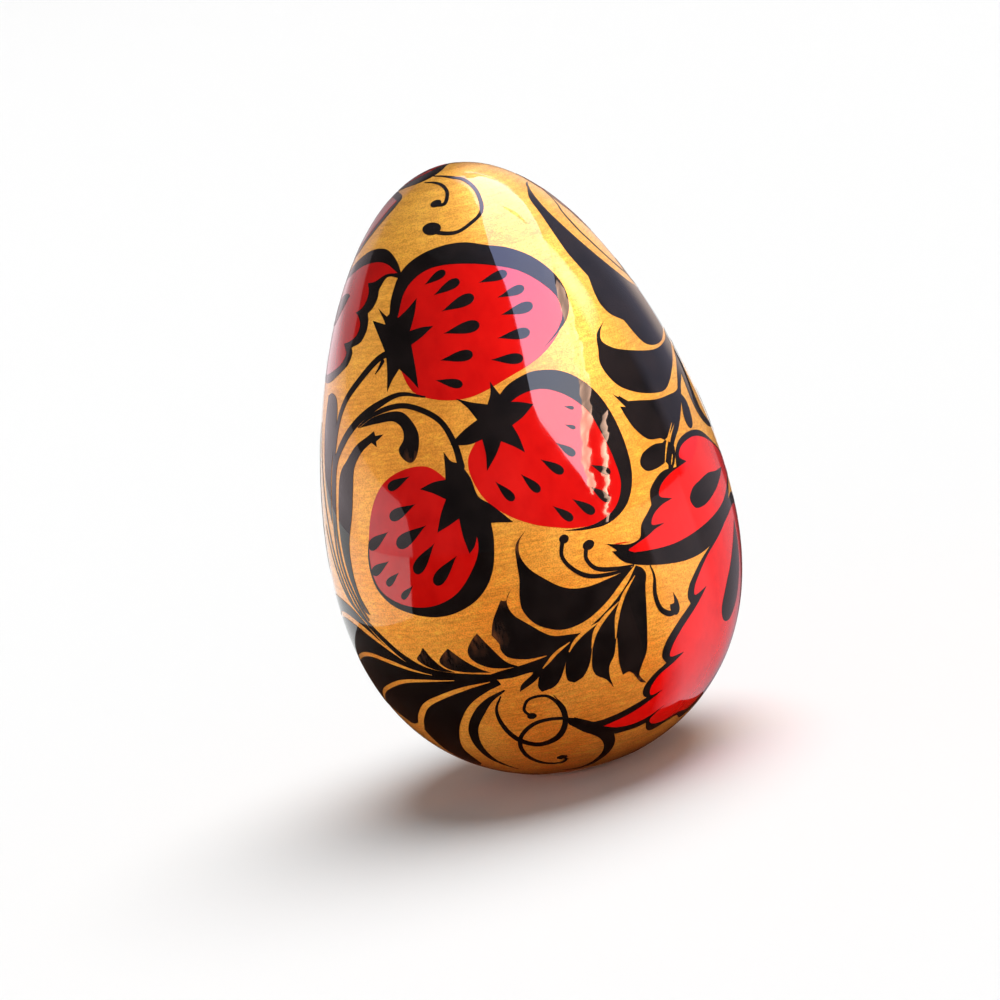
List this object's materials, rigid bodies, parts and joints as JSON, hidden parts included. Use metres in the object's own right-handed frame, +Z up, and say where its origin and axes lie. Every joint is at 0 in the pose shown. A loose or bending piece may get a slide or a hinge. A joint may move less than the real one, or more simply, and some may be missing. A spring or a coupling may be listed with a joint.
{
  "type": "lacquered painted wooden egg",
  "caption": "Solid turned wooden egg on a small flat foot, under primer, gold and glossy lacquer, painted with red berries and black scrolling leaves.",
  "frame": {"origin": "centre of the flat foot, on the surface the egg stands on", "axes": "+Z up the egg's axis to its narrow tip, -Y towards the side with the main group of berries"},
  "size_m": [0.0534, 0.0534, 0.08],
  "materials": {
    "limewood": "bare sanded end grain at the foot",
    "primer": "matt clay and linseed oil",
    "gold_ground": "rubbed metal powder, turned gold by the lacquer",
    "lacquer": "several clear baked coats, high gloss",
    "red_paint": "oil paint under gloss lacquer",
    "black_paint": "oil paint under gloss lacquer"
  },
  "bodies": {
    "root": {"wood_core": "limewood", "primer_coat": "primer", "gold_coat": "gold_ground", "lacquer_coat": "lacquer"}
  },
  "joints": []
}
